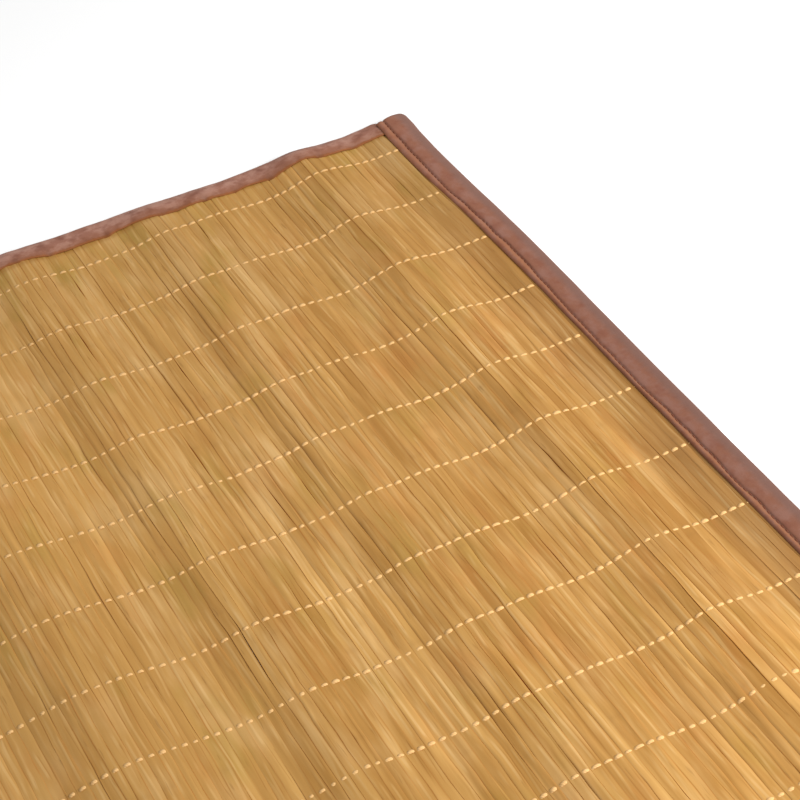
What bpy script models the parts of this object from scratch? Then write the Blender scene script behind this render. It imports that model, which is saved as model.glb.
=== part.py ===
"""Bamboo slat rug with cloth bindings, lying in shallow waves.

Units are metres. X runs across the slats, Y along them and +Z up. The origin is at the
middle of the rug, on the surface it lies on.
"""

import math

import bmesh
import bpy
import numpy as np

for old in list(bpy.data.objects):
    bpy.data.objects.remove(old, do_unlink=True)

MM = 0.001

# Rug
RUG_LENGTH = 0.900
RUG_WIDTH = 0.600
CORNER_RADIUS = 0.0035

# Slat panel: narrow slats side by side, woven into one flexible panel
SLAT_COUNT = 179
SLAT_PITCH = 0.005
SLAT_THICKNESS = 0.0020
SLAT_SHOULDER = 0.0010
TOP_GROOVE = 0.0006
BOTTOM_GROOVE = 0.0004
SLAT_END_INSET = 0.002

# Cloth tape folded over all four edges
TAPE = 0.0010
GAP = 0.0003
SIDE_WIDTH = 0.017
END_WIDTH = 0.016
SEAM_FROM_EDGE = 0.0033
FOLD_ROUND = 0.0015
SLOT_ROUND = 0.0006
PUCKER = 0.0005
PUCKER_LENGTHS = (0.0036, 0.0083)

# The side tapes lap over the ends of the end tapes.
LAP_INSET = 0.006
LAP_START = 0.282
LAP_RAMP = 0.008

# Upper face of each tape, from its inner edge to the fold, in millimetres: the place across
# the tape and the rise over its plain thickness. The side tape has a sewn lip and a seam.
SIDE_FACE = (
    # across, rise
    (0.0, -0.6),
    (0.5, 0.25),
    (1.5, 0.5),
    (2.7, 0.3),
    (3.3, -0.5),
    (4.2, 0.2),
    (8.5, 0.5),
    (13.0, 0.2),
    (15.8, -0.8),
)
END_FACE = (
    # across, rise
    (0.0, -0.4),
    (1.0, 0.3),
    (10.0, 0.3),
    (13.8, 0.0),
    (15.6, -1.0),
)

# The panel sags onto the surface between its ends, which stand on the tape under them.
FLAT_HALF = 0.200

# Turning points of the waves, from the right side to the left: the place across the rug and
# the height of the panel's underside there, in millimetres. Between two of them the height
# eases from one to the next.
WAVE_TURNS = (
    # x, height
    (450, 1.3),
    (433, 1.3),
    (412, 0.5),
    (384, 5.2),
    (346, 0.1),
    (317, 2.8),
    (299, 2.5),
    (288, 3.5),
    (269, 0.6),
    (250, 0.0),
    (213, 4.3),
    (183, 0.6),
    (129, 6.2),
    (88, 0.3),
    (52, 3.1),
    (20, 0.5),
    (-22, 4.9),
    (-58, 0.9),
    (-80, 2.6),
    (-116, 0.0),
    (-168, 5.4),
    (-203, 0.7),
    (-238, 3.4),
    (-262, 1.6),
    (-281, 2.4),
    (-318, 0.2),
    (-362, 4.7),
    (-404, 0.6),
    (-433, 1.3),
    (-450, 1.3),
)

COLOURS = {
    "bamboo": (0.50, 0.30, 0.095),
    "binding": (0.23, 0.095, 0.07),
}


def ease(share):
    return (1 - math.cos(math.pi * share)) / 2


def turn_height(x):
    """Height of the panel's underside on the smooth curve through the turning points."""
    for (right, high), (left, low) in zip(WAVE_TURNS, WAVE_TURNS[1:]):
        if left * MM <= x <= right * MM:
            share = (right * MM - x) / ((right - left) * MM)
            return (high + (low - high) * ease(share)) * MM
    return WAVE_TURNS[0][1] * MM


def slat_edge(index):
    return (index - SLAT_COUNT / 2) * SLAT_PITCH


# Every solid follows the waves through the same stations, two slats apart.
STATIONS = [slat_edge(i) for i in range(0, SLAT_COUNT, 2)] + [slat_edge(SLAT_COUNT)]
STATION_HEIGHTS = [turn_height(x) for x in STATIONS]

HALF_LENGTH = RUG_LENGTH / 2
HALF_WIDTH = RUG_WIDTH / 2
PANEL_HALF_WIDTH = HALF_WIDTH - SLAT_END_INSET
END_INNER = HALF_WIDTH - END_WIDTH
END_CROWN = max(rise for across, rise in END_FACE) * MM
SIDE_INNER = HALF_LENGTH - SIDE_WIDTH


def lift(y):
    """Rise of the panel from its flat middle towards an end, where the tape lies under it."""
    share = (abs(y) - FLAT_HALF) / (END_INNER - FLAT_HALF)
    return (TAPE + GAP) * max(0.0, share)


def underside(x, y):
    return float(np.interp(x, STATIONS, STATION_HEIGHTS)) + lift(y)


def material(name):
    made = bpy.data.materials.get(name) or bpy.data.materials.new(name)
    made.use_nodes = True
    shader = made.node_tree.nodes["Principled BSDF"]
    shader.inputs["Base Color"].default_value = (*COLOURS[name], 1.0)
    shader.inputs["Roughness"].default_value = 0.45 if name == "bamboo" else 0.85
    shader.inputs["Metallic"].default_value = 0.0
    return made


def sweep(name, sections, finish):
    """One closed solid through a row of sections that all have the same number of points."""
    bm = bmesh.new()
    start_cap = bm.faces.new([bm.verts.new(point) for point in sections[0]])
    front = start_cap
    for section in sections[1:]:
        grown = bmesh.ops.extrude_face_region(bm, geom=[front])
        if front is not start_cap:
            bmesh.ops.delete(bm, geom=[front], context="FACES_ONLY")
        front = next(item for item in grown["geom"] if isinstance(item, bmesh.types.BMFace))
        for vert, point in zip(front.verts, section):
            vert.co = point
    bmesh.ops.recalc_face_normals(bm, faces=bm.faces)
    mesh = bpy.data.meshes.new(name)
    bm.to_mesh(mesh)
    bm.free()
    mesh.materials.append(material(finish))
    piece = bpy.data.objects.new(name, mesh)
    bpy.context.scene.collection.objects.link(piece)
    return piece


def panel_section(y):
    """Section across the slats, with a flat-topped rib for each slat on both faces."""
    below = []
    above = []
    for index in range(SLAT_COUNT):
        left = slat_edge(index)
        right = slat_edge(index + 1)
        for x, groove in ((left, 1), (left + SLAT_SHOULDER, 0), (right - SLAT_SHOULDER, 0)):
            below.append((x, y, underside(x, y) + groove * BOTTOM_GROOVE))
            above.append((x, y, underside(x, y) + SLAT_THICKNESS - groove * TOP_GROOVE))
    last = slat_edge(SLAT_COUNT)
    below.append((last, y, underside(last, y) + BOTTOM_GROOVE))
    above.append((last, y, underside(last, y) + SLAT_THICKNESS - TOP_GROOVE))
    return below + above[::-1]


def slat_panel():
    rows = (-PANEL_HALF_WIDTH, -FLAT_HALF, FLAT_HALF, PANEL_HALF_WIDTH)
    return sweep("slat_panel", [panel_section(y) for y in rows], "bamboo")


def pucker(x):
    """The end tape's inner edge wanders, as it was sewn over uneven slats."""
    first, second = PUCKER_LENGTHS
    return PUCKER * (math.sin(x / first) + 0.6 * math.sin(x / second))


def end_section(x, end):
    """Section of the tape folded over the slats' ends, from its upper inner edge round to it."""
    inner = END_INNER - pucker(x)
    fold = HALF_WIDTH
    slot_end = fold - TAPE

    def over(y, height):
        return (x, end * y, underside(x, y) + SLAT_THICKNESS + GAP + height)

    def under(y, height):
        return (x, end * y, underside(x, y) - GAP - TAPE + height)

    middle = underside(x, fold) + SLAT_THICKNESS / 2
    face = [over(END_INNER + across * MM, TAPE + rise * MM) for across, rise in END_FACE]
    face[0] = over(inner, TAPE + END_FACE[0][1] * MM)
    back = [under(fold - 0.3 * FOLD_ROUND, TAPE), under(fold - FOLD_ROUND, 0), under(inner, 0)]
    slot = [
        under(inner, TAPE),
        under(slot_end - SLOT_ROUND, TAPE),
        (x, end * slot_end, middle),
        over(slot_end - SLOT_ROUND, 0),
        over(inner, 0),
    ]
    return face + [(x, end * fold, middle)] + back + slot


def end_binding(name, end):
    reach = HALF_LENGTH - LAP_INSET
    places = [-reach] + [x for x in STATIONS if abs(x) < reach] + [reach]
    return sweep(name, [end_section(x, end) for x in places], "binding")


def side_section(y, side):
    """Section of the tape folded over the panel's side, from its upper inner edge round to it."""
    seat = underside(HALF_LENGTH, y)
    lapped = min(1.0, max(0.0, 1.0 - (LAP_START - abs(y)) / LAP_RAMP))
    slot_top = seat + SLAT_THICKNESS + GAP + lapped * (TAPE + END_CROWN + GAP)
    middle = seat + SLAT_THICKNESS / 2
    slot_end = SIDE_WIDTH - TAPE
    into_corner = min(CORNER_RADIUS, max(0.0, abs(y) - (HALF_WIDTH - CORNER_RADIUS)))
    rounding = CORNER_RADIUS - math.sqrt(CORNER_RADIUS**2 - into_corner**2)
    squeeze = 1.0 - rounding / (SIDE_WIDTH - SEAM_FROM_EDGE)

    def place(across, height):
        beyond_seam = max(0.0, across - SEAM_FROM_EDGE)
        x = SIDE_INNER + min(across, SEAM_FROM_EDGE) + beyond_seam * squeeze
        return (side * x, y, height)

    face = [(across * MM, slot_top + TAPE + rise * MM) for across, rise in SIDE_FACE]
    back = [(SIDE_WIDTH - 0.3 * FOLD_ROUND, 0.6 * TAPE), (SIDE_WIDTH - FOLD_ROUND, 0), (0, 0)]
    slot = [
        (0, TAPE),
        (slot_end - SLOT_ROUND, TAPE),
        (slot_end, middle),
        (slot_end - SLOT_ROUND, slot_top),
        (0, slot_top),
    ]
    outline = face + [(SIDE_WIDTH, middle)] + back + slot
    return [place(across, height) for across, height in outline]


def side_binding(name, side):
    arc_start = HALF_WIDTH - CORNER_RADIUS
    half = [FLAT_HALF, LAP_START - LAP_RAMP, LAP_START, arc_start]
    half += [arc_start + CORNER_RADIUS * math.sin(math.radians(turn)) for turn in (30, 55, 75, 90)]
    places = [-y for y in reversed(half)] + half
    return sweep(name, [side_section(y, side) for y in places], "binding")


slat_panel()
end_binding("end_binding_back", 1)
end_binding("end_binding_front", -1)
side_binding("side_binding_right", 1)
side_binding("side_binding_left", -1)
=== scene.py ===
import math
import random

import bmesh
import bpy
import numpy as np
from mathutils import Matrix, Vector, noise
from mathutils.bvhtree import BVHTree


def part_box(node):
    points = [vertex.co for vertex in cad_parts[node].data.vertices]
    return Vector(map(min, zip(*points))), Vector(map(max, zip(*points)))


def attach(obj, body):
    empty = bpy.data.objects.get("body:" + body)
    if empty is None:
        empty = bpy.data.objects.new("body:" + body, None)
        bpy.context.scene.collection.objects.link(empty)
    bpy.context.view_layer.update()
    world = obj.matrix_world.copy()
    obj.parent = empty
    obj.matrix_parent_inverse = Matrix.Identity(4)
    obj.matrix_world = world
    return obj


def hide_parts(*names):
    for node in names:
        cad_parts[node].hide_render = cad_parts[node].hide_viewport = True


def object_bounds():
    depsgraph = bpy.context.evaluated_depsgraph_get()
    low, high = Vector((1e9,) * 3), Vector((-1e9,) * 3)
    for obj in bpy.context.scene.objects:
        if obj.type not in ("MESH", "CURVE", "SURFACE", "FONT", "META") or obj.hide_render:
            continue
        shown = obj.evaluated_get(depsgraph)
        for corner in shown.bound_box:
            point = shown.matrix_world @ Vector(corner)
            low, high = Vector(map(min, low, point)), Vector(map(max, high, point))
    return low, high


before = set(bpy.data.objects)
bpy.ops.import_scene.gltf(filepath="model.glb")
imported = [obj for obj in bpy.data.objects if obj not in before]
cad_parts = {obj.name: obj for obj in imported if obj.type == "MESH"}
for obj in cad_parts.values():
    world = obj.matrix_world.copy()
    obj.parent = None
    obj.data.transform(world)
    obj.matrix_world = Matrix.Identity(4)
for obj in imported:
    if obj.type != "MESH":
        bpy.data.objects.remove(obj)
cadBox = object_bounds()
mm = 0.001

# Shader maths: a signal is one output socket, and arithmetic on it adds Math nodes


class Signal:
    def __init__(self, finish, socket):
        self.finish = finish
        self.socket = socket

    def calc(self, operation, *values, clamp=False):
        settings = {"operation": operation, "use_clamp": clamp}
        return self.finish.node("ShaderNodeMath", settings, dict(enumerate(values)))

    def __add__(self, other):
        return self.calc("ADD", self, other)

    def __radd__(self, other):
        return self.calc("ADD", other, self)

    def __sub__(self, other):
        return self.calc("SUBTRACT", self, other)

    def __rsub__(self, other):
        return self.calc("SUBTRACT", other, self)

    def __mul__(self, other):
        return self.calc("MULTIPLY", self, other)

    def __rmul__(self, other):
        return self.calc("MULTIPLY", other, self)

    def sine(self):
        return self.calc("SINE", self)

    def size(self):
        return self.calc("ABSOLUTE", self)

    def atLeast(self, low):
        return self.calc("MAXIMUM", self, low)

    def clamped(self):
        return self.calc("ADD", self, 0.0, clamp=True)

    def between(self, low, high):  # 0 at low, 1 at high, eased
        settings = {"interpolation_type": "SMOOTHSTEP"}
        values = {"Value": self, "From Min": low, "From Max": high}
        return self.finish.node("ShaderNodeMapRange", settings, values)


class Finish:
    def __init__(self, name, **fixed):
        self.material = bpy.data.materials.new(name)
        self.material.use_nodes = True
        self.tree = self.material.node_tree
        self.shader = self.tree.nodes["Principled BSDF"]
        for socket, value in fixed.items():
            self.shader.inputs[socket.replace("_", " ")].default_value = value

    def node(self, kind, settings=None, values=None, output=0):
        made = self.tree.nodes.new(kind)
        for key, value in (settings or {}).items():
            setattr(made, key, value)
        for key, value in (values or {}).items():
            if isinstance(value, Signal):
                self.tree.links.new(value.socket, made.inputs[key])
            else:
                made.inputs[key].default_value = value
        return Signal(self, made.outputs[output])

    def place(self):  # the point in the rug's frame, in metres
        return self.node("ShaderNodeTexCoord", output="Object")

    def fact(self, name, output="Fac"):  # a value kept in the mesh
        return self.node("ShaderNodeAttribute", {"attribute_name": name}, output=output)

    def split(self, vector):
        return [self.node("ShaderNodeSeparateXYZ", values={0: vector}, output=i) for i in range(3)]

    def join(self, x, y, z):
        return self.node("ShaderNodeCombineXYZ", values={0: x, 1: y, 2: z})

    def cloud(self, x, y, z, detail=2.0, roughness=0.5):  # soft noise, about 0 to 1
        values = {"Vector": self.join(x, y, z), "Scale": 1.0, "Detail": detail}
        values["Roughness"] = roughness
        return self.node("ShaderNodeTexNoise", {"noise_dimensions": "3D"}, values)

    def mix(self, factor, first, second):  # of two colours
        settings = {"data_type": "RGBA", "clamp_factor": True}
        return self.node("ShaderNodeMix", settings, {0: factor, 6: first, 7: second}, output=2)

    def tint(self, colour, red, green=None, blue=None):  # times a number, or one a channel
        factors = self.join(red, green or red, blue or red)
        return self.node("ShaderNodeVectorMath", {"operation": "MULTIPLY"}, {0: colour, 1: factors})

    def bump(self, height, distance, strength):
        values = {"Height": height, "Distance": distance, "Strength": strength}
        return self.node("ShaderNodeBump", values=values)

    def wire(self, **signals):
        for socket, signal in signals.items():
            self.tree.links.new(signal.socket, self.shader.inputs[socket.replace("_", " ")])
        return self.material


def addPiece(name, bm, finish):
    mesh = bpy.data.meshes.new(name)
    bm.to_mesh(mesh)
    bm.free()
    for polygon in mesh.polygons:
        polygon.use_smooth = True
    mesh.materials.append(finish)
    piece = bpy.data.objects.new(name, mesh)
    bpy.context.scene.collection.objects.link(piece)
    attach(piece, "root")
    return piece


def scatter(place, *seeds):
    # smooth noise along a length, about -1 to 1; the seeds keep its uses apart
    return noise.noise(Vector((place, *seeds)))


def curve(*rows):
    # a line through points given in millimetres, as a function of a place in metres
    places = [row[0] * mm for row in rows]
    values = [row[1] * mm for row in rows]
    return lambda place: float(np.interp(place, places, values))


def eased(share):
    share = min(1.0, max(0.0, share))
    return share * share * (3 - 2 * share)


def bell(distance, reach):
    return math.exp(-((distance / reach) ** 2))


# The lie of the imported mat: rays from below find the underside of each slat
rug = {
    "slats": 179,
    "rayStart": -10 * mm,
    "rayAside": 0.1 * mm,  # so that no ray runs between two faces
    "liftStations": (-0.999, -0.8, -0.68, 0.68, 0.8, 0.999),  # shares of the half width
    "liftShare": 0.45,  # the ends press into the tape under them
    "corner": 6.5 * mm,
    "lapFromEnd": 17 * mm,  # how far in from the ends the side tapes climb over the end tapes
    "sideReach": 90 * mm,  # how far in the slats follow an uneven seam
    "calmEdge": 160 * mm,  # to the left of this the joints are closed and the stitches short
    "calmEase": 120 * mm,
}
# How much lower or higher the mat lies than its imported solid: x, rise, in mm
settle = curve(
    (-450, 0.0), (-300, -0.3), (-150, 0.3), (0, -0.2), (120, 0.2), (167, 0.3), (197, -0.5),
    (212, -0.4), (227, -1.2), (257, -0.3), (272, -0.3), (290, 0.4), (305, 0.1), (317, 0.3),
    (332, 0.2), (347, -0.1), (362, -0.5), (380, 0.8), (422, 0.7), (450, 0.3),
)
# How far outside its true line the folded end runs: x, outward, in mm; the other end has
# it reversed
endLine = curve(
    (-450, -0.5), (-430, 0.0), (-370, -1.7), (-310, -1.0), (-250, 0.5), (-190, -0.3),
    (-130, -1.8), (-60, -1.2), (0, 0.3), (40, -0.4), (100, -1.0), (150, 0.6), (200, 1.5),
    (227, 1.6), (257, 1.6), (272, 1.3), (287, -0.5), (302, -1.7), (317, -1.7), (332, -2.2),
    (347, -0.9), (362, -0.9), (377, -0.8), (392, -3.2), (407, -2.1), (430, 0.3), (450, -0.3),
)
# The same for the inner edge, the seam and the fold of a side tape: y, outward, in mm
lipLine = curve(
    (-300, -1.2), (-230, -0.6), (-150, 0.2), (-80, -0.3), (20, -0.3), (60, -0.2), (110, 0.1),
    (135, 0.0), (160, -0.3), (185, -0.5), (210, -1.2), (235, -2.6), (257, -3.2), (300, -3.0),
)
seamLine = curve(
    (-300, -1.4), (-230, -0.8), (-150, 0.1), (-80, -0.6), (20, -0.9), (60, -1.0), (85, -0.6),
    (110, 0.1), (135, 0.4), (160, 0.5), (185, -0.2), (210, -1.5), (257, -2.0), (300, -2.1),
)
foldLine = curve(
    (-300, -0.8), (-230, 0.3), (-150, 0.5), (-80, 0.1), (20, 0.2), (60, 0.3), (110, 0.6),
    (160, 0.7), (185, 0.3), (210, -0.4), (257, -1.2), (285, -0.7), (300, -0.5),
)
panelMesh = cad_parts["slat_panel"].data
panelCorners = [vert.co for vert in panelMesh.vertices]
panelTree = BVHTree.FromPolygons(panelCorners, [face.vertices[:] for face in panelMesh.polygons])
panelLow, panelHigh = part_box("slat_panel")
halfLength = cadBox[1].x
halfWidth = cadBox[1].y
pitch = (panelHigh.x - panelLow.x) / rug["slats"]


def castUp(x, y):
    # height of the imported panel's underside there
    return panelTree.ray_cast(Vector((x, y, rug["rayStart"])), Vector((0, 0, 1)))[0].z


def easedRow(values):
    # each value evened out with its neighbours
    padded = [values[0], *values, values[-1]]
    return [(a + 2 * b + c) / 4 for a, b, c in zip(padded, padded[1:], padded[2:])]


centres = [panelLow.x + (index + 0.5) * pitch for index in range(rug["slats"])]
packedHeights = easedRow([castUp(x, rug["rayAside"]) for x in centres])
waveHeights = [max(0.0, high + settle(x)) for x, high in zip(centres, packedHeights)]
liftPlaces = [share * panelHigh.y for share in rug["liftStations"]]
middleHeight = castUp(rug["rayAside"], 0.0)
liftHeights = [(castUp(rug["rayAside"], y) - middleHeight) * rug["liftShare"] for y in liftPlaces]


def waveHeight(x):
    return float(np.interp(x, centres, waveHeights))


def liftHeight(y):
    return float(np.interp(y, liftPlaces, liftHeights))


def endPlace(x, end):
    # how far out the folded tape reaches at that end: end is 1 or -1
    return halfWidth + endLine(end * x)


def sideShift(x, y):
    # how far the slats near a side move with its uneven line
    side = 1 if x > 0 else -1
    share = eased((abs(x) - halfLength + rug["sideReach"]) / rug["sideReach"])
    return side * share * seamLine(side * y) if share > 0 else 0.0


def calmShare(x):
    # 1 on the left of the mat, 0 on the right
    return 1 - eased((x - rug["calmEdge"]) / rug["calmEase"])


print("frame read: pitch", round(pitch / mm, 3), "mm, waves to", round(max(waveHeights) / mm, 2), "mm")

# Slats
slatMake = {
    "seed": 7,
    "under": 0.4 * mm,  # room for the warp under the slats
    "thickness": 1.65 * mm,
    "tuck": 7.5 * mm,  # the slats stop short of the folded tape
    "lappedTuck": 9 * mm,
    "gap": 0.01 * mm,
    "edgeSpread": 0.75 * mm,  # how unevenly wide the slats were split
    "edgeWander": (0.8 * mm, 24),  # how far, and its pace along the slat
    "edgeJitter": (0.5 * mm, 63),
    "edgeSeedStep": 3.7,
    "topBevel": 0.55 * mm,
    "bevelFade": (0.96, 1.1, 0.60, 1.0),  # filled share of a bevel: usual, spread, least, most
    "bevelPace": 13,
    "calmFade": 0.17,  # and more on the left
    "crown": (0.02 * mm, 0.16 * mm),
    "ridge": (0.30 * mm, 9, 21),  # soft ridges that the splitting left: rise, pace across, along
    "topCuts": 3,
    "segments": 52,
    "tilt": 0.75,  # degrees, spread of the slats' own lean
    "twist": (4.0, 16),  # degrees, and its pace along the slat
    "rise": 0.10 * mm,  # how much higher one slat lies than the next, or than itself further on
    "risePace": 15,
    "toneSpread": 0.5,
    "seedSpan": 50,
    "knuckleRise": 0.08 * mm,
    "knuckleReach": 2.2 * mm,
    "knuckleSpacing": (180 * mm, 320 * mm),
    "sharpOver": 50,  # degrees
}
# Places where two slats have parted
cracks = [
    # x, y, half length, opening (mm)
    (252, 158, 16, 0.50),
    (252, 42, 20, 0.52),
    (232, 250, 12, 0.50),
    (350, 258, 16, 0.42),
    (307, 256, 9, 0.36),
    (362, 160, 32, 0.16),
    (267, 42, 15, 0.40),
    (295, 148, 18, 0.30),
    (232, 90, 26, 0.32),
    (215, 202, 18, 0.34),
    (407, 254, 12, 0.25),
    (200, -40, 30, 0.42),
    (340, -60, 26, 0.46),
    (290, -120, 34, 0.48),
    (372, -8, 18, 0.36),
]
# and small ones anywhere, in the same units
strayCracks = {"seed": 3, "count": 90, "halfLength": (5, 24), "opening": (0.04, 0.24)}


def edgeCracks():
    # every crack goes to the nearest edge between two slats
    draw = random.Random(strayCracks["seed"])
    found = [[] for _ in range(rug["slats"] + 1)]
    rows = list(cracks)
    for _ in range(strayCracks["count"]):
        x = draw.uniform(panelLow.x, panelHigh.x) / mm
        y = draw.uniform(-halfWidth, halfWidth) / mm
        half = draw.uniform(*strayCracks["halfLength"])
        rows.append((x, y, half, draw.uniform(*strayCracks["opening"])))
    for x, y, half, opening in rows:
        edge = round((x * mm - panelLow.x) / pitch)
        found[min(max(edge, 1), rug["slats"] - 1)].append((y * mm, half * mm, opening * mm))
    return found


def planSlats():
    draw = random.Random(slatMake["seed"])
    shifts = [draw.uniform(-0.5, 0.5) * slatMake["edgeSpread"] for _ in range(rug["slats"] + 1)]
    shifts[0] = shifts[-1] = 0.0
    found = edgeCracks()
    plan = []
    for index, x in enumerate(centres):
        ahead = waveHeights[min(index + 1, rug["slats"] - 1)]
        behind = waveHeights[max(index - 1, 0)]
        knuckles = [draw.uniform(-1, -0.2) * slatMake["knuckleSpacing"][1]]
        while knuckles[-1] < halfWidth:
            knuckles.append(knuckles[-1] + draw.uniform(*slatMake["knuckleSpacing"]))
        lapped = abs(x) > halfLength - tape["sideWidth"] - pitch
        tuck = slatMake["lappedTuck"] if lapped else slatMake["tuck"]
        rise = draw.uniform(-0.5, 0.5) * slatMake["rise"]
        lean = math.radians(draw.gauss(0, slatMake["tilt"]))
        seedStep = slatMake["edgeSeedStep"]
        plan.append({
            "x": x,
            "edges": (x - pitch / 2 + shifts[index], x + pitch / 2 + shifts[index + 1]),
            "edgeSeeds": (index * seedStep, (index + 1) * seedStep),
            "cracks": (found[index], found[index + 1]),
            "height": slatMake["under"] + max(0.0, waveHeights[index] + rise),
            "angle": math.atan2(ahead - behind, 2 * pitch) + lean,
            "crown": draw.uniform(*slatMake["crown"]),
            "bead": draw.uniform(*warp["beadSizes"]),
            "tone": draw.gauss(0, slatMake["toneSpread"]),
            "seed": draw.random() * slatMake["seedSpan"],
            "knuckles": knuckles,
            "ends": (endPlace(x, -1) - tuck, endPlace(x, 1) - tuck),
        })
    return plan


def slatEdge(slat, which, y):
    # where one long edge of a slat is at y: which is 0 for the left edge and 1 for the right
    seed = slat["edgeSeeds"][which]
    wander = 0.0
    for (reach, pace), layer in ((slatMake["edgeWander"], 0), (slatMake["edgeJitter"], 9)):
        wander += reach * scatter(seed, y * pace, layer)
    gap = slatMake["gap"]
    for place, half, opening in slat["cracks"][which]:
        if abs(y - place) < half:
            gap += opening * math.cos(math.pi / 2 * (y - place) / half)
    inward = gap / 2 if which == 0 else -gap / 2
    return slat["edges"][which] + wander + inward


def onSlat(slat, share, y, z):
    # share goes from -0.5 to 0.5 across the slat and z up from its underside
    middle = slatMake["thickness"] / 2
    left = slatEdge(slat, 0, y)
    right = slatEdge(slat, 1, y)
    twist, pace = slatMake["twist"]
    turn = slat["angle"] + math.radians(twist) * scatter(slat["seed"], y * pace, 4)
    x = (left + right) / 2 + share * (right - left)
    over = z - middle
    level = slat["height"] + middle + liftHeight(y) + (x - slat["x"]) * math.tan(turn)
    level += slatMake["rise"] * scatter(slat["seed"] + 40, y * slatMake["risePace"], 6)
    return Vector((x - over * math.sin(turn) + sideShift(x, y), y, level + over * math.cos(turn)))


def blankSlat():
    # one unit across and two along, so that a vertex holds its shares of the slat
    length = 2 * panelHigh.y
    bm = bmesh.new()
    bmesh.ops.create_cube(bm, size=1)
    bmesh.ops.scale(bm, vec=(pitch, length, slatMake["thickness"]), verts=bm.verts)
    bmesh.ops.translate(bm, vec=(0, 0, slatMake["thickness"] / 2), verts=bm.verts)
    # the two long upper edges
    rails = [
        edge for edge in bm.edges
        if abs(edge.verts[0].co.y - edge.verts[1].co.y) > length / 2
        and edge.verts[0].co.z > slatMake["thickness"] / 2
    ]
    bmesh.ops.bevel(
        bm, geom=rails, offset=slatMake["topBevel"], segments=1, profile=0.5,
        affect="EDGES", material=-1,
    )
    # the two ends of the flat top
    tops = [
        edge for edge in bm.edges
        if min(vert.co.z for vert in edge.verts) > 0.999 * slatMake["thickness"]
        and abs(edge.verts[0].co.y - edge.verts[1].co.y) < mm
    ]
    bmesh.ops.subdivide_edges(bm, edges=tops, cuts=slatMake["topCuts"], use_grid_fill=True)
    for step in range(1, slatMake["segments"]):
        y = length * (step / slatMake["segments"] - 0.5)
        everything = [*bm.verts, *bm.edges, *bm.faces]
        bmesh.ops.bisect_plane(bm, geom=everything, plane_co=(0, y, 0), plane_no=(0, 1, 0))
    bmesh.ops.scale(bm, vec=(1 / pitch, 2 / length, 1), verts=bm.verts)
    mesh = bpy.data.meshes.new("blank")
    bm.to_mesh(mesh)
    bm.free()
    return mesh


def shapeSlat(blank, slat):
    bm = bmesh.new()
    bm.from_mesh(blank)
    facts = bm.verts.layers.float_vector.new("slatFacts")
    knuckle = bm.verts.layers.float.new("knuckle")
    front, back = slat["ends"]
    for vert in bm.verts:
        vert.co.y *= back if vert.co.y > 0 else front
    for place in slat["knuckles"]:
        for offset in (-slatMake["knuckleReach"], 0, slatMake["knuckleReach"]):
            everything = [*bm.verts, *bm.edges, *bm.faces]
            cut = (0, place + offset, 0)
            bmesh.ops.bisect_plane(bm, geom=everything, plane_co=cut, plane_no=(0, 1, 0))
    for vert in bm.verts:
        share, y, z = vert.co
        nearest = min(abs(place - y) for place in slat["knuckles"])
        swell = bell(nearest, slatMake["knuckleReach"])
        high, acrossPace, alongPace = slatMake["ridge"]
        ridge = high * scatter(slat["seed"] + share * acrossPace, y * alongPace, 7)
        crown = slat["crown"] * (1 - (2 * share) ** 2)
        rise = crown + ridge + slatMake["knuckleRise"] * swell
        if abs(share) > 0.499:  # on the long edges, where the bevel starts
            # a joint shows more in some places than in others
            seed = slat["edgeSeeds"][0 if share < 0 else 1]
            usual, spread, least, most = slatMake["bevelFade"]
            calm = slatMake["calmFade"] * calmShare(slat["x"])
            faded = usual + calm + spread * scatter(seed + 60, y * slatMake["bevelPace"], 2)
            faded = min(most, max(least + 2 * calm, faded))
            bevel = slatMake["topBevel"]
            rise += bevel * faded / (1 - bevel / slatMake["thickness"])
        vert.co = onSlat(slat, share, y, z + z / slatMake["thickness"] * rise)
        vert[facts] = Vector((slat["tone"], slat["seed"], share))
        vert[knuckle] = swell
    mesh = bpy.data.meshes.new("shaped")
    bm.to_mesh(mesh)
    bm.free()
    return mesh


def makeSlats(finish):
    blank = blankSlat()
    bm = bmesh.new()
    for slat in slatPlan:
        shaped = shapeSlat(blank, slat)
        bm.from_mesh(shaped)
        bpy.data.meshes.remove(shaped)
    bpy.data.meshes.remove(blank)
    bmesh.ops.recalc_face_normals(bm, faces=bm.faces)
    piece = addPiece("slats", bm, finish)
    piece.data.set_sharp_from_angle(angle=math.radians(slatMake["sharpOver"]))
    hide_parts("slat_panel")
    return piece


# Warp threads, two to a row, that change sides between the slats
warp = {
    "rows": 12,
    "firstRow": 269.5 * mm,
    "rowPitch": 49 * mm,
    "rowShift": (-2.1, -1.6, -1.8, -3.3, -1.8, -1.3, -1.1, -0.3, -1.8, -1.0, -0.5, -1.2),  # mm
    "width": 2.15 * mm,
    "height": 0.86 * mm,
    "rise": (-0.8, -0.10, 0.16, 0.22, 0.16, -0.10),  # mm over the slat's top, across one slat
    "girth": (0.4, 0.78, 1.0, 1.02, 1.0, 0.78),
    "beadSizes": (0.80, 1.10),
    "beadSpread": (0.25, 0.71, 90),  # how much, its pace from slat to slat and from row to row
    "sink": (0.30 * mm, 0.13, 70),  # deeper in some stretches
    "sinkShare": (0.4, 1.6),  # usual, spread
    "shorten": 0.42 * mm,  # each stitch dips sooner on the left
    "coveredRise": -0.25,  # mm, under the side tapes
    "passUnder": 0.30 * mm,
    "underShare": 0.6,  # how far the thread follows its own rise there
    "slant": 0.2 * mm,
    "stray": (0.45 * mm, 0.23, 40),
    "sides": 6,
}
stations = len(warp["rise"])


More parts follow.
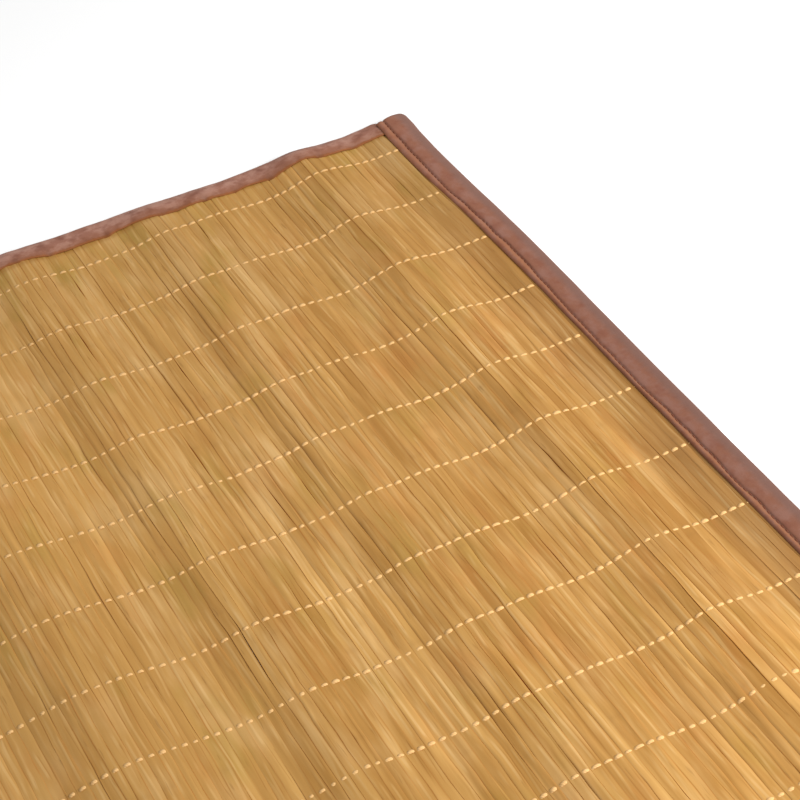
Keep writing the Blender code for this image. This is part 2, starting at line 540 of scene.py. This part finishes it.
def strandCentre(rowY, side, step):
    # where the middle of a thread is, counted in steps from the left edge of the slats
    slot, part = divmod(step, stations)
    neighbours = [(slot, part)]
    if part == 0:
        neighbours.append((slot - 1, stations))
    points = []
    for index, steps in neighbours:
        index = min(max(index, 0), rug["slats"] - 1)
        slat = slatPlan[index]
        share = steps / stations - 0.5
        over = side if index % 2 == 0 else -side
        rise = warp["rise"][steps % stations] * mm
        deep, slatPace, rowPace = warp["sink"]
        usual, spread = warp["sinkShare"]
        rise -= deep * eased(usual + spread * scatter(index * slatPace, rowY * rowPace, 5))
        if steps % stations in (1, stations - 1):
            rise -= warp["shorten"] * calmShare(slat["x"])
        if abs(slat["x"]) > halfLength - tape["sideWidth"]:
            rise = min(rise, warp["coveredRise"] * mm)
        top = slatMake["thickness"] + slat["crown"] * (1 - (2 * share) ** 2)
        z = top + rise if over > 0 else warp["passUnder"] - warp["underShare"] * rise
        far, slatPace, rowPace = warp["stray"]
        y = rowY + warp["slant"] * over * share * 2
        y += far * scatter(index * slatPace, rowY * rowPace, 1)
        points.append(onSlat(slat, share, y, z))
    return sum(points, Vector()) / len(points)


def straightStrand():
    # a strand along Z, one unit to a step, that the rows then lay out
    bm = bmesh.new()
    ring = bmesh.ops.create_circle(bm, segments=warp["sides"], radius=0.5)["verts"]
    bmesh.ops.scale(bm, vec=(warp["width"], warp["height"], 1), verts=ring)
    edges = list(bm.edges)
    steps = rug["slats"] * stations
    bmesh.ops.spin(bm, geom=edges, angle=0, steps=steps, dvec=(0, 0, 1), axis=(0, 0, 1))
    bmesh.ops.holes_fill(bm, edges=[edge for edge in bm.edges if edge.is_boundary])
    bmesh.ops.recalc_face_normals(bm, faces=bm.faces)
    mesh = bpy.data.meshes.new("strand")
    bm.to_mesh(mesh)
    bm.free()
    return mesh


def makeWarpRow(number, strand, finish):
    rowY = warp["firstRow"] - number * warp["rowPitch"] + warp["rowShift"][number] * mm
    steps = rug["slats"] * stations
    spread, slatPace, rowPace = warp["beadSpread"]
    bm = bmesh.new()
    for side in (1, -1):
        known = len(bm.verts)
        bm.from_mesh(strand)
        bm.verts.ensure_lookup_table()
        line = [strandCentre(rowY, side, step) for step in range(steps + 1)]
        for vert in bm.verts[known:]:
            step = round(vert.co.z)
            ahead = line[min(step + 1, steps)] - line[max(step - 1, 0)]
            up = ahead.cross(Vector((0, -1, 0))).normalized()
            slot = min(step // stations, rug["slats"] - 1)
            bead = slatPlan[slot]["bead"] + spread * scatter(slot * slatPace, rowY * rowPace, side)
            girth = warp["girth"][step % stations] * bead
            vert.co = line[step] + Vector((0, vert.co.x * girth, 0)) + up * vert.co.y * girth
    bmesh.ops.recalc_face_normals(bm, faces=bm.faces)
    return addPiece(f"warp_row_{number + 1:02d}", bm, finish)


# Cloth tapes folded over the edges. A section row gives a point of the outer face: the place
# across, outward from the upper inner edge, the share of the height that it stands at, and
# its rise over that.
tape = {
    "cloth": 0.6 * mm,
    "sideWidth": 17 * mm,
    "sideHeight": 4.3 * mm,  # about, for the cloth's own map
    "endWidth": 16 * mm,
    "endHeight": 3.2 * mm,
    "endBottom": 0.6 * mm,  # how far the end tape hangs under the mat's underside
    "lapInset": 7 * mm,
    "stationLength": 3 * mm,
    "cornerTurns": (14, 28, 42, 56, 68, 80, 90),  # degrees, stations round a corner
    "seamPlace": 4.1 * mm,
}
sideRows = (
    # across, share of height, rise (mm)
    (0.4, 0.0, 0.0),
    (4.0, 0.0, 0.0),
    (8.0, 0.0, 0.0),
    (12.0, 0.0, 0.0),
    (15.0, 0.0, 0.0),
    (16.2, 0.0, 0.25),
    (16.9, 0.3, 0.0),
    (17.0, 0.6, 0.0),
    (16.7, 0.86, 0.0),
    (16.1, 1.0, -0.12),
    (14.8, 1.0, 0.22),
    (12.8, 1.0, 0.40),
    (10.6, 1.0, 0.50),
    (8.4, 1.0, 0.55),
    (6.6, 1.0, 0.52),
    (5.5, 1.0, 0.42),
    (4.9, 1.0, 0.20),
    (4.5, 1.0, -0.10),
    (4.1, 1.0, -0.26),
    (3.7, 1.0, -0.10),
    (3.3, 1.0, 0.26),
    (2.7, 1.0, 0.62),
    (2.0, 1.0, 0.80),
    (1.3, 1.0, 0.72),
    (0.7, 1.0, 0.40),
    (0.3, 1.0, 0.0),
    (0.1, 1.0, -0.3),
)
endRows = (
    # across, share of height, rise (mm)
    (0.4, 0.0, 0.0),
    (4.0, 0.0, 0.0),
    (8.0, 0.0, 0.0),
    (12.0, 0.0, 0.0),
    (14.4, 0.0, 0.0),
    (15.4, 0.0, 0.3),
    (15.95, 0.3, 0.0),
    (16.0, 0.6, 0.0),
    (15.5, 0.9, 0.0),
    (14.6, 1.0, -0.10),
    (13.2, 1.0, 0.12),
    (11.4, 1.0, 0.22),
    (9.4, 1.0, 0.26),
    (7.4, 1.0, 0.26),
    (5.6, 1.0, 0.26),
    (4.2, 1.0, 0.26),
    (3.0, 1.0, 0.24),
    (2.0, 1.0, 0.22),
    (1.2, 1.0, 0.20),
    (0.5, 1.0, 0.08),
    (0.1, 1.0, -0.12),
)


def sectionLengths(rows, height):
    # how far round the fold each row lies, for the cloth's own map
    points = [Vector((across, share * height / mm + rise)) for across, share, rise in rows]
    lengths = [0.0]
    for first, second in zip(points, points[1:]):
        lengths.append(lengths[-1] + (second - first).length * mm)
    return lengths


sideRound = sectionLengths(sideRows, tape["sideHeight"])
endRound = sectionLengths(endRows, tape["endHeight"])


def foldedTape(name, rows, lengths, places, place, finish, node):
    # place gives the point and its shade for a row's values and a station along the tape
    bm = bmesh.new()
    cloth = bm.loops.layers.uv.new("cloth")
    shade = bm.verts.layers.float.new("shade")
    bmesh.ops.create_grid(bm, x_segments=len(rows) - 1, y_segments=len(places) - 1, size=0.5)
    cells = {}
    for vert in bm.verts:
        row = round((vert.co.x + 0.5) * (len(rows) - 1))
        station = round((vert.co.y + 0.5) * (len(places) - 1))
        cells[vert] = (row, station)
    for face in bm.faces:
        for loop in face.loops:
            row, station = cells[loop.vert]
            loop[cloth].uv = (lengths[row], places[station])
    for vert, (row, station) in cells.items():
        across, share, rise = rows[row]
        vert.co, vert[shade] = place(across * mm, share, rise * mm, places[station])
    bm.normal_update()
    upper = max(bm.faces, key=lambda face: abs(face.normal.z) * face.calc_center_median().z)
    if upper.normal.z < 0:
        bmesh.ops.reverse_faces(bm, faces=bm.faces)
    piece = addPiece(name, bm, finish)
    thick = piece.modifiers.new("cloth", "SOLIDIFY")
    thick.thickness = tape["cloth"]
    thick.offset = -1.0
    soften = piece.modifiers.new("soften", "SUBSURF")
    soften.levels = soften.render_levels = 1
    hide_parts(node)
    return piece


def evenPlaces(reach):
    count = round(2 * reach / tape["stationLength"])
    return [reach * (2 * i / count - 1) for i in range(count + 1)]


def roundedPlaces(reach, radius):
    # even as far as the rounded corners, then by their turn
    tips = []
    for turn in tape["cornerTurns"]:
        tips.append(reach - radius + radius * math.sin(math.radians(turn)))
    return [-y for y in reversed(tips)] + evenPlaces(reach - radius) + tips


sideMake = {
    "endRound": 3 * mm,  # the closed ends thin out over this
    "closedHeight": 1.2 * mm,
    "seatInset": 4 * mm,  # the tape's height is the mat's there, in from the edge
    "climb": (5 * mm, 7 * mm, 0.35 * mm),  # onto the end tape: start before it, length, slack
    "edgeWander": (0.25 * mm, 30),  # how far, and its pace along the tape
    "seamWander": (0.95 * mm, 75),
    "seamReach": 1.4 * mm,
    "ripple": (0.12 * mm, 70, 160),  # how high, and its pace along and across
    "slack": (0.25 * mm, 18, 40),
    "lipInset": 1.0 * mm,  # the lip's ends stand in from the ends of the tape
    "bodyInset": 2.4 * mm,
    "bodyInner": 12 * mm,
    "insetReach": 16 * mm,
    "creases": ((120 * mm, 1), (2 * mm, 1), (-170 * mm, -1), (-236 * mm, 1)),  # along, which way
    "creaseDepth": 0.16 * mm,
    "creaseSpread": (8 * mm, 3.5 * mm),  # along, across
    "creasePlace": 11.5 * mm,
    "creaseSlant": 0.7,
    "creaseFold": 0.9 * mm,
    "stitch": (0.7 * mm, 2.7 * mm, 0.45 * mm),
    "stitchPitch": 3.6 * mm,
    "stitchSkew": 0.06,
    "stitchSink": 0.1 * mm,
    "stitchEnds": 8 * mm,  # length without stitches, both ends together
}


def sidePlace(side, across, share, rise, y):
    inner = halfLength - tape["sideWidth"]
    lap = halfWidth - rug["lapFromEnd"]
    start, length, slack = sideMake["climb"]
    climb = eased((abs(y) - lap + start) / length) * (tape["cloth"] + slack)
    seat = waveHeight(side * (halfLength - sideMake["seatInset"])) + liftHeight(y)
    height = seat + slatMake["under"] + slatMake["thickness"] + tape["cloth"] + climb
    closed = sideMake["closedHeight"]
    near = max(0.0, abs(y) - (halfWidth - sideMake["endRound"])) / sideMake["endRound"]
    height = closed + (height - closed) * math.sqrt(max(0.0, 1 - near**2))
    # the rounded corner draws in all that lies outside the seam
    into = min(rug["corner"], max(0.0, abs(y) - (halfWidth - rug["corner"])))
    rounding = rug["corner"] - math.sqrt(rug["corner"] ** 2 - into**2)
    beyond = max(0.0, across - tape["seamPlace"])
    squeeze = 1 - rounding / (tape["sideWidth"] - tape["seamPlace"])
    x = inner + min(across, tape["seamPlace"]) + beyond * squeeze
    shifts = [line(side * y) for line in (lipLine, seamLine, foldLine)]
    x += float(np.interp(across, (0.0, tape["seamPlace"], tape["sideWidth"]), shifts))
    far, pace = sideMake["edgeWander"]
    x += far * share * scatter(y * pace, 0.5, side)
    far, pace = sideMake["seamWander"]
    x += far * bell(across - tape["seamPlace"], sideMake["seamReach"]) * scatter(y * pace, 2.5, side)
    for (high, along, over), layer in ((sideMake["ripple"], 3), (sideMake["slack"], 8)):
        rise += share * high * scatter(y * along, across * over, layer * side)
    along, over = sideMake["creaseSpread"]
    for spot, way in sideMake["creases"]:
        deep = bell(y - spot, along) * bell(across - sideMake["creasePlace"], over) * share
        turn = (y + way * across * sideMake["creaseSlant"]) / sideMake["creaseFold"]
        rise += sideMake["creaseDepth"] * deep * math.sin(turn)
    # near the ends the tape's corners stand in a little
    tip = sideMake["lipInset"] * (1 - eased(across / tape["seamPlace"]))
    tip += sideMake["bodyInset"] * (1 - eased(across / sideMake["bodyInner"]))
    tip *= eased((abs(y) - halfWidth + sideMake["insetReach"]) / sideMake["insetReach"])
    return Vector((side * x, y - math.copysign(tip, y), share * height + rise))


def makeSideTape(name, side, finish, node):
    def place(across, share, rise, y):
        return sidePlace(side, across, share, rise, y), 0.0

    places = roundedPlaces(halfWidth, rug["corner"])
    piece = foldedTape(name, sideRows, sideRound, places, place, finish, node)


def makeSeam(name, side, finish):
    # the stitches that lie in the groove of the side tape
    grain = bmesh.new()
    bmesh.ops.create_uvsphere(grain, u_segments=6, v_segments=4, radius=0.5)
    lengthwise = Vector((0, 0, 1)).rotation_difference(Vector((0, 1, 0))).to_matrix()
    bmesh.ops.rotate(grain, cent=(0, 0, 0), matrix=lengthwise, verts=grain.verts)
    bmesh.ops.scale(grain, vec=sideMake["stitch"], verts=grain.verts)
    mesh = bpy.data.meshes.new("stitch")
    grain.to_mesh(mesh)
    grain.free()
    bm = bmesh.new()
    count = int((2 * halfWidth - sideMake["stitchEnds"]) / sideMake["stitchPitch"])
    for number in range(count):
        middle = (number - (count - 1) / 2) * sideMake["stitchPitch"]
        known = len(bm.verts)
        bm.from_mesh(mesh)
        bm.verts.ensure_lookup_table()
        for vert in bm.verts[known:]:
            across = tape["seamPlace"] + vert.co.x + sideMake["stitchSkew"] * vert.co.y
            rise = vert.co.z - sideMake["stitchSink"]
            vert.co = sidePlace(side, across, 1.0, rise, middle + vert.co.y)
    bpy.data.meshes.remove(mesh)
    bmesh.ops.recalc_face_normals(bm, faces=bm.faces)
    addPiece(name, bm, finish)


endSew = {
    "seed": 5,
    "spacing": (17 * mm, 36 * mm),
    "pinch": 0.5 * mm,
    "pinchReach": 1.8 * mm,
    "loft": 0.5 * mm,  # the inner edge stands up between the pinches
    "loftUsual": 0.4,
    "shadeUsual": 0.3,
    "loftReach": 7 * mm,
    "hemReach": 3.5 * mm,  # how far in from the inner edge all this fades
    "scallop": 2.3 * mm,
    "scallopPaces": (45, 140),
    "creases": (0.40 * mm, 160, 45),  # how high, and its pace along and across
    "slack": (0.46 * mm, 42, 60),
    "lapTuck": 3.0 * mm,  # drawn in under the side tapes
    "lapStart": 3 * mm,
    "lapEase": 6 * mm,
    "droop": 0.55,  # share of the wave's height that the fold hangs down
    "droopEase": 8 * mm,
    "lowest": 0.05 * mm,
}


def sewnPlaces(seed):
    draw = random.Random(seed)
    spots = [-halfLength]
    while spots[-1] < halfLength:
        spots.append(spots[-1] + draw.uniform(*endSew["spacing"]))
    return spots


def makeEndTape(name, end, finish, node):
    reach = halfLength - tape["lapInset"]
    sewn = sewnPlaces(endSew["seed"] + end)

    def place(across, share, rise, x):
        pinch = max(bell(x - spot, endSew["pinchReach"]) for spot in sewn)
        loft = 1 - max(bell(x - spot, endSew["loftReach"]) for spot in sewn)
        lapped = abs(x) - halfLength + tape["sideWidth"] + endSew["lapStart"]
        lapped = eased(lapped / endSew["lapEase"])
        calm = 1 - lapped
        fade = math.exp(-across / endSew["hemReach"]) * share
        wide, narrow = endSew["scallopPaces"]
        wander = scatter(x * wide, 7 * end, 0) + 0.5 * scatter(x * narrow, 7 * end, 3)
        y = endPlace(x, end) - lapped * endSew["lapTuck"] - tape["endWidth"] + across
        y -= fade * endSew["scallop"] * (wander + 0.5 * pinch) * calm
        hanging = eased((across - endSew["droopEase"]) / endSew["droopEase"])
        base = waveHeight(x) + liftHeight(y)
        base -= endSew["droop"] * waveHeight(x) * hanging
        height = tape["endBottom"] + slatMake["under"] + slatMake["thickness"] + tape["cloth"]
        folds = 0.0
        for (high, along, over), layer in ((endSew["creases"], 11), (endSew["slack"], 5)):
            folds += high * scatter(x * along, across * over, layer * end)
        rise += share * folds * (1 - 0.5 * fade) * calm
        rise += fade * calm * endSew["loft"] * loft * max(0.0, endSew["loftUsual"] + wander)
        rise -= fade * calm * endSew["pinch"] * pinch
        z = max(endSew["lowest"], base - tape["endBottom"] + share * height + rise)
        # painted shade in the pinches and under the lofted inner edge
        shade = pinch + 0.5 * loft * max(0.0, endSew["shadeUsual"] + wander)
        shade *= fade * calm
        return Vector((x, end * y, z)), shade

    places = evenPlaces(reach)
    piece = foldedTape(name, endRows, endRound, places, place, finish, node)


# Finishes
bamboo = {
    "honey": (0.402, 0.212, 0.053, 1),
    "straw": (0.440, 0.250, 0.081, 1),
    "amber": (0.408, 0.182, 0.042, 1),
    "moss": (0.330, 0.192, 0.036, 1),
    # the colour of the painted highlights on the fibres and ridges
    "pale": (0.54, 0.340, 0.135, 1),
    # the joints' colour, also used for the painted shadow beside the tapes
    "joint": (0.31, 0.136, 0.023, 1),
    "wall": (0.50, 0.18, 0.018, 1),  # the slats' sides, down in the joints
    "mark": (0.14, 0.058, 0.012, 1),
    # how much of a colour is laid over the others
    "warmShare": (0.4, 0.45),  # amber patches, and how much more of them on the right
    "warmLoss": 0.6,  # and how much less at the back
    "mossShare": (0.6, 0.25),  # the same, more at the back
    "rightAmber": 0.24,
    "sideShadowAmber": (0.5, 0.7),  # beside the side tapes, and how much less at the back
    # painted brown shadow right beside the tapes
    "contactShadowShare": 0.5,  # brown right beside the tapes
    # painted highlights along the fibres
    "fibreHighlights": 0.32,
    # painted highlight on the strands' ridges
    "ridge": 0.40,
    "stain": 0.75,
    "split": 0.5,
    "wallShare": 0.8,
    "flaw": 0.26,
    "knuckle": 0.10,
    # how much the tone changes
    "slatContrast": 0.10,
    "patchContrast": 0.48,  # along one slat
    "groupContrast": 0.60,  # over a few slats
    "bandContrast": 0.48,
    "streakContrast": 0.28,
    "fineContrast": 0.06,
    "darkest": -0.24,
    "deepening": (0.75, 1, 1.6),  # share of a change in tone that red, green and blue take
    # brightness by the place on the mat, all painted: shadow beside the tapes, light and shade
    # elsewhere
    "sideShadow": 0.30,  # darker beside the side tapes
    "sideShadowFront": (1.3, 0.6),  # more so at the front, and less by this at the back
    "endShadow": 0.08,
    "paintedLight": 0.07,
    "paintedShade": 0.03,
    "waver": 1.4 * mm,
    "bump": (0.2 * mm, 0.35),  # distance, strength
}


def bambooGround(look, x, y, seed, back):
    # broad patches run a few slats across and some centimetres along
    dry = look.cloud(x * 50, y * 20, seed * 0.008, detail=3).between(0.46, 0.70)
    warm = look.cloud(x * 55 + 31, y * 24, seed * 0.006, detail=3).between(0.50, 0.74)
    green = look.cloud(x * 50, y * 20 + 5, seed * 0.006).between(0.52, 0.74)
    usual, more = bamboo["warmShare"]
    warm = warm * (usual + more * x.between(0.20, 0.42)) * (1 - bamboo["warmLoss"] * back)
    usual, more = bamboo["mossShare"]
    green = green * (usual + more * back)
    colour = look.mix(dry, bamboo["honey"], bamboo["straw"])
    colour = look.mix(warm, colour, bamboo["amber"])
    colour = look.mix(green, colour, bamboo["moss"])
    right = x.between(0.14, 0.44)
    return look.mix(right * bamboo["rightAmber"] * (1 - back), colour, bamboo["amber"])


def bambooShade(x, y, beside):
    # painted shadow: the slats are darker beside the tapes
    most, less = bamboo["sideShadowFront"]
    beyond = y.size().between(halfWidth - 20 * mm, halfWidth - 15 * mm)
    shade = 1 - beside * bamboo["sideShadow"] * (most - less * y.between(-0.14, 0.25))
    shade = shade * (1 - beyond * bamboo["endShadow"])
    # painted light: a little brighter at the back and in the right front corner
    backLeft = (1 - x.between(0.13, 0.24)) * y.between(-0.02, 0.10)
    corner = x.between(0.27, 0.37) * (1 - y.between(-0.17, -0.09))
    pale = backLeft + corner + y.between(0.06, 0.16) * 0.35
    shade = shade * (1 + pale * bamboo["paintedLight"])
    # and painted shade: darker in a stretch of the front half
    dull = x.between(0.08, 0.14) * (1 - x.between(0.22, 0.28)) * (1 - y.between(-0.05, 0.05))
    return shade * (1 - dull * bamboo["paintedShade"])


def bambooFinish():
    look = Finish("bamboo", Specular_IOR_Level=0.25)
    x, y = look.split(look.place())[:2]
    tone, seed, across = look.split(look.fact("slatFacts", "Vector"))
    back = y.between(0.10, 0.25)  # the back of the mat is greener
    colour = bambooGround(look, x, y, seed, back)
    # fibres run the length of the slat and waver a little
    waver = (look.cloud(x * 60, y * 75, seed * 0.1, detail=1) - 0.5) * bamboo["waver"]
    bands = look.cloud(x * 230 + waver * 330, y * 16, seed + 20)
    streaks = look.cloud(x * 430 + waver * 500, y * 14, seed)
    fine = look.cloud(x * 1900 + waver * 1900, y * 60, seed + 3)
    # a slat changes tone along its length, and a few slats together change more to the right
    patch = look.cloud(seed * 7, y * 10, 3)
    groups = look.cloud(x * 60, y * 7, 8.0, roughness=0.65) - 0.5
    groups = groups * (0.55 + 0.80 * x.between(0.14, 0.28))
    change = tone * bamboo["slatContrast"] + (patch - 0.5) * bamboo["patchContrast"]
    change = change + (streaks - 0.5) * bamboo["streakContrast"]
    change = change + (fine - 0.5) * bamboo["fineContrast"]
    change = change + (bands - 0.5) * bamboo["bandContrast"] + groups * bamboo["groupContrast"]
    # all of it is calmer on the left and at the back
    lively = (0.60 + 0.58 * x.between(0.12, 0.26)) * (1.38 - 0.38 * y.between(-0.12, 0.12))
    change = change * lively * (1 - 0.35 * y.between(0.12, 0.26))
    change = change.atLeast(bamboo["darkest"])
    # beside the side tapes the slats are more amber, which gives the painted shadow there its warm hue
    beside = x.size().between(halfLength - 46 * mm, halfLength - 24 * mm)
    usual, less = bamboo["sideShadowAmber"]
    colour = look.mix(beside * usual * (1 - less * back), colour, bamboo["amber"])
    # painted highlights: pale streaks along the fibres
    fibreGlints = look.cloud(x * 330 + waver * 430, y * 20, seed + 31).between(0.54, 0.74)
    colour = look.mix(fibreGlints * bamboo["fibreHighlights"], colour, bamboo["pale"])
    # a pale strand wanders across each slat, with a fine split beside it; the strand's paleness is a
    # painted highlight on its ridge
    strand = across + (look.cloud(seed * 5, y * 8, 12.0, detail=1) - 0.5) * 1.7
    ridge = 1 - strand.size().between(0.04, 0.17)
    ridge = ridge * look.cloud(seed * 3, y * 30, 14.0).between(0.46, 0.60)
    split = 1 - (strand - 0.17).size().between(0.01, 0.06)
    split = split * look.cloud(seed * 3, y * 34, 17.0).between(0.48, 0.62)
    colour = look.mix(ridge * bamboo["ridge"], colour, bamboo["pale"])
    # painted shadow, in brown, on the slats right beside the tapes
    touching = x.size().between(halfLength - 21.5 * mm, halfLength - 17.5 * mm)
    sewn = y.size().between(halfWidth - 19 * mm, halfWidth - 15 * mm)
    contactShadow = ((touching + sewn) * bamboo["contactShadowShare"]).clamped()
    colour = look.mix(contactShadow, colour, bamboo["joint"])
    # the joints are stained here and there
    rim = across.size().between(0.38, 0.50)
    stain = rim * look.cloud(seed + across * 1.4, y * 26, 5).between(0.46, 0.62)
    stained = (stain * bamboo["stain"] + split * bamboo["split"]).clamped()
    colour = look.mix(stained, colour, bamboo["joint"])
    wall = across.size().between(0.485, 0.5)
    colour = look.mix(wall * bamboo["wallShare"], colour, bamboo["wall"])
    # what is darker is also deeper in colour
    shade = bambooShade(x, y, beside)
    colour = look.tint(colour, *[shade * (1 + change * share) for share in bamboo["deepening"]])
    # short dark flaws
    flaws = look.cloud(x * 800 + waver * 900, y * 60, seed + 9, detail=1).between(0.68, 0.78)
    marks = flaws * bamboo["flaw"] + look.fact("knuckle") * bamboo["knuckle"]
    colour = look.mix(marks.clamped(), colour, bamboo["mark"])
    relief = streaks * 0.5 + fine * 0.15 - flaws * 0.3 + ridge * 0.4 - split * 0.4
    rough = 0.46 + streaks * 0.18 + flaws * 0.2
    return look.wire(Base_Color=colour, Roughness=rough, Normal=look.bump(relief, *bamboo["bump"]))


warpThread = {
    "dark": (0.70, 0.405, 0.150, 1),
    "light": (0.78, 0.495, 0.225, 1),
}
seamThread = {
    "dark": (0.13, 0.036, 0.018, 1),
    "light": (0.20, 0.062, 0.032, 1),
}


def threadFinish(name, thread):
    look = Finish(name, Roughness=0.8, Specular_IOR_Level=0.2)
    x, y, z = look.split(look.place())
    twist = (x * 5200 + y * 3800).sine() * 0.5 + 0.5
    fuzz = look.cloud(x * 900, y * 900, z * 900)
    # painted shade: duller on the left and at the back
    shade = (0.88 + twist * 0.12) * (0.87 + 0.13 * x.between(0.12, 0.36))
    shade = shade * (1 - 0.10 * y.between(0.05, 0.25))
    colour = look.tint(look.mix(fuzz, thread["dark"], thread["light"]), shade)
    return look.wire(Base_Color=colour, Normal=look.bump(twist + fuzz * 0.5, 0.1 * mm, 0.6))


sideCloth = {
    "ground": (0.228, 0.093, 0.057, 1),
    "worn": (0.246, 0.116, 0.084, 1),
    "sunk": (0.183, 0.064, 0.039, 1),
    "sunkShare": 0.5,
    # painted shade along the upper inner edge, where the hem turns under
    "hemShade": (0.235, 0.078, 0.020, 1),
    "hemShadeShare": 0.35,
    "lip": (0.30, 0.122, 0.052, 1),
    "lipShare": (0.6, 0.25),  # and how much less at the back
    # painted shade and sheen where the tape turns down
    "fold": (0.176, 0.095, 0.076, 1),  # where the tape turns down
    "foldShare": 0.8,
    "seamShade": 0.22,
}
endCloth = {
    "ground": (0.272, 0.120, 0.082, 1),
    "worn": (0.376, 0.198, 0.148, 1),
    "sunk": (0.175, 0.064, 0.042, 1),
    "sunkShare": 0.7,
    # painted shade along the upper inner edge, where the hem turns under
    "hemShade": (0.235, 0.078, 0.020, 1),
    "hemShadeShare": 0.85,
    "hemShadeFurther": 0.3,  # the same colour, weaker, further in
}


def clothFinish(name, cloth, length, seam=None):
    # length is how far round the fold the upper inner edge lies, and seam how far in from
    # that edge the sewn groove is, on a tape that has one
    look = Finish(name, Specular_IOR_Level=0.15, Sheen_Weight=0.04, Sheen_Roughness=0.4)
    u, v = look.split(look.node("ShaderNodeUVMap", {"uv_map": "cloth"}))[:2]
    weave = (u * 13000).sine() * (v * 13000).sine() * 0.5 + 0.5
    slub = look.cloud(u * 300, v * 2600, 0.0) + look.cloud(u * 2600, v * 300, 4.0)
    mottle = look.cloud(u * 110, v * 85, 2.0, detail=4, roughness=0.6)
    colour = look.mix(mottle.between(0.40, 0.62), cloth["ground"], cloth["worn"])
    hollows = look.cloud(u * 170, v * 130, 9.0).between(0.46, 0.72)
    colour = look.mix(hollows * cloth["sunkShare"], colour, cloth["sunk"])
    # painted shade along the upper inner edge, where the hem turns under
    inward = length - u + (look.cloud(u * 200, v * 500, 5.0) - 0.5) * (2.4 * mm)
    edge = 1 - inward.between(0.4 * mm, 2.4 * mm)
    colour = look.mix(edge * cloth["hemShadeShare"], colour, cloth["hemShade"])
    shade = 0.78 + weave * 0.14 + slub * 0.15 - look.fact("shade") * 0.4
    if seam is None:
        # on the end tape the painted shade reaches further in, weaker
        near = 1 - inward.between(2 * mm, 9 * mm)
        colour = look.mix(near * cloth["hemShadeFurther"], colour, cloth["hemShade"])
    else:
        groove = 1 - (inward - seam).size().between(0.3 * mm, 1.2 * mm)
        shade = shade - groove * cloth["seamShade"]
        usual, less = cloth["lipShare"]
        lip = inward.between(1.6 * mm, 2.6 * mm) - inward.between(seam - 0.4 * mm, seam + 0.2 * mm)
        lip = (lip * (usual - less * v.between(0.10, 0.27))).clamped()
        colour = look.mix(lip, colour, cloth["lip"])
        # painted shade and sheen where the tape turns down and curves away
        turned = inward.between(10 * mm, 14.5 * mm)
        colour = look.mix(turned * cloth["foldShare"], colour, cloth["fold"])
        # painted light: paler towards the back
        shade = shade * (0.83 + 0.24 * v.between(-0.05, 0.27))
    colour = look.tint(colour, shade)
    rough = 0.84 + mottle * 0.1
    relief = weave * 0.5 + slub * 0.3
    return look.wire(Base_Color=colour, Roughness=rough, Normal=look.bump(relief, 0.12 * mm, 0.6))


seamRow = next(i for i, row in enumerate(sideRows) if row[0] * mm == tape["seamPlace"])
slatFinish = bambooFinish()
warpFinish = threadFinish("warp thread", warpThread)
seamFinish = threadFinish("seam thread", seamThread)
seamInward = sideRound[-1] - sideRound[seamRow]
sideFinish = clothFinish("side tape cloth", sideCloth, sideRound[-1], seamInward)
endFinish = clothFinish("end tape cloth", endCloth, endRound[-1])
print("finishes ready")

slatPlan = planSlats()
slats = makeSlats(slatFinish)
print("slats made:", len(slats.data.polygons), "faces")
strand = straightStrand()
warpRows = [makeWarpRow(number, strand, warpFinish) for number in range(warp["rows"])]
bpy.data.meshes.remove(strand)
print("warp rows made:", len(warpRows))
makeSideTape("side_tape_right", 1, sideFinish, "side_binding_right")
makeSideTape("side_tape_left", -1, sideFinish, "side_binding_left")
makeSeam("seam_right", 1, seamFinish)
makeSeam("seam_left", -1, seamFinish)
makeEndTape("end_tape_back", 1, endFinish, "end_binding_back")
makeEndTape("end_tape_front", -1, endFinish, "end_binding_front")
print("tapes made")

# Floor, light and camera
studio = {
    "floorHalf": 4.0,
    "floorColour": (0.95, 0.965, 0.99, 1),
    "floorRoughness": 0.7,
    "skyColour": (1.0, 0.985, 0.955, 1),
    "skyStrength": 0.68,
    "keyPlace": (1.11, -0.59, 0.725),
    "keySize": 0.64,
    "keyPower": 21.0,
    "keyColour": (1.0, 0.985, 0.965),
}
camera = {
    "place": (-0.0019, -0.7157, 0.7253),
    "turn": (49.812, 5.053, -27.180),  # degrees, XYZ
    "angle": 19.56,  # degrees, the field of view of the square frame
    "clipStart": 0.05,
}


def makeStudio():
    bm = bmesh.new()
    bmesh.ops.create_grid(bm, x_segments=1, y_segments=1, size=studio["floorHalf"])
    mesh = bpy.data.meshes.new("floor")
    bm.to_mesh(mesh)
    bm.free()
    look = {"Roughness": studio["floorRoughness"], "Base_Color": studio["floorColour"]}
    mesh.materials.append(Finish("pale floor", **look).material)
    floor = bpy.data.objects.new("floor", mesh)
    bpy.context.scene.collection.objects.link(floor)
    world = bpy.data.worlds.new("studio")
    world.use_nodes = True
    sky = world.node_tree.nodes["Background"]
    sky.inputs["Color"].default_value = studio["skyColour"]
    sky.inputs["Strength"].default_value = studio["skyStrength"]
    bpy.context.scene.world = world
    light = bpy.data.lights.new("key", "AREA")
    light.size = studio["keySize"]
    light.energy = studio["keyPower"]
    light.color = studio["keyColour"]
    key = bpy.data.objects.new("key", light)
    key.location = studio["keyPlace"]
    key.rotation_euler = (-Vector(studio["keyPlace"])).to_track_quat("-Z", "Y").to_euler()
    bpy.context.scene.collection.objects.link(key)
    bpy.context.scene.view_settings.view_transform = "Standard"


def makeCamera():
    lens = bpy.data.cameras.new("camera")
    lens.angle = math.radians(camera["angle"])
    lens.clip_start = camera["clipStart"]
    eye = bpy.data.objects.new("camera", lens)
    eye.location = camera["place"]
    eye.rotation_euler = [math.radians(turn) for turn in camera["turn"]]
    bpy.context.scene.collection.objects.link(eye)
    bpy.context.scene.camera = eye


makeStudio()
makeCamera()
print("studio ready")
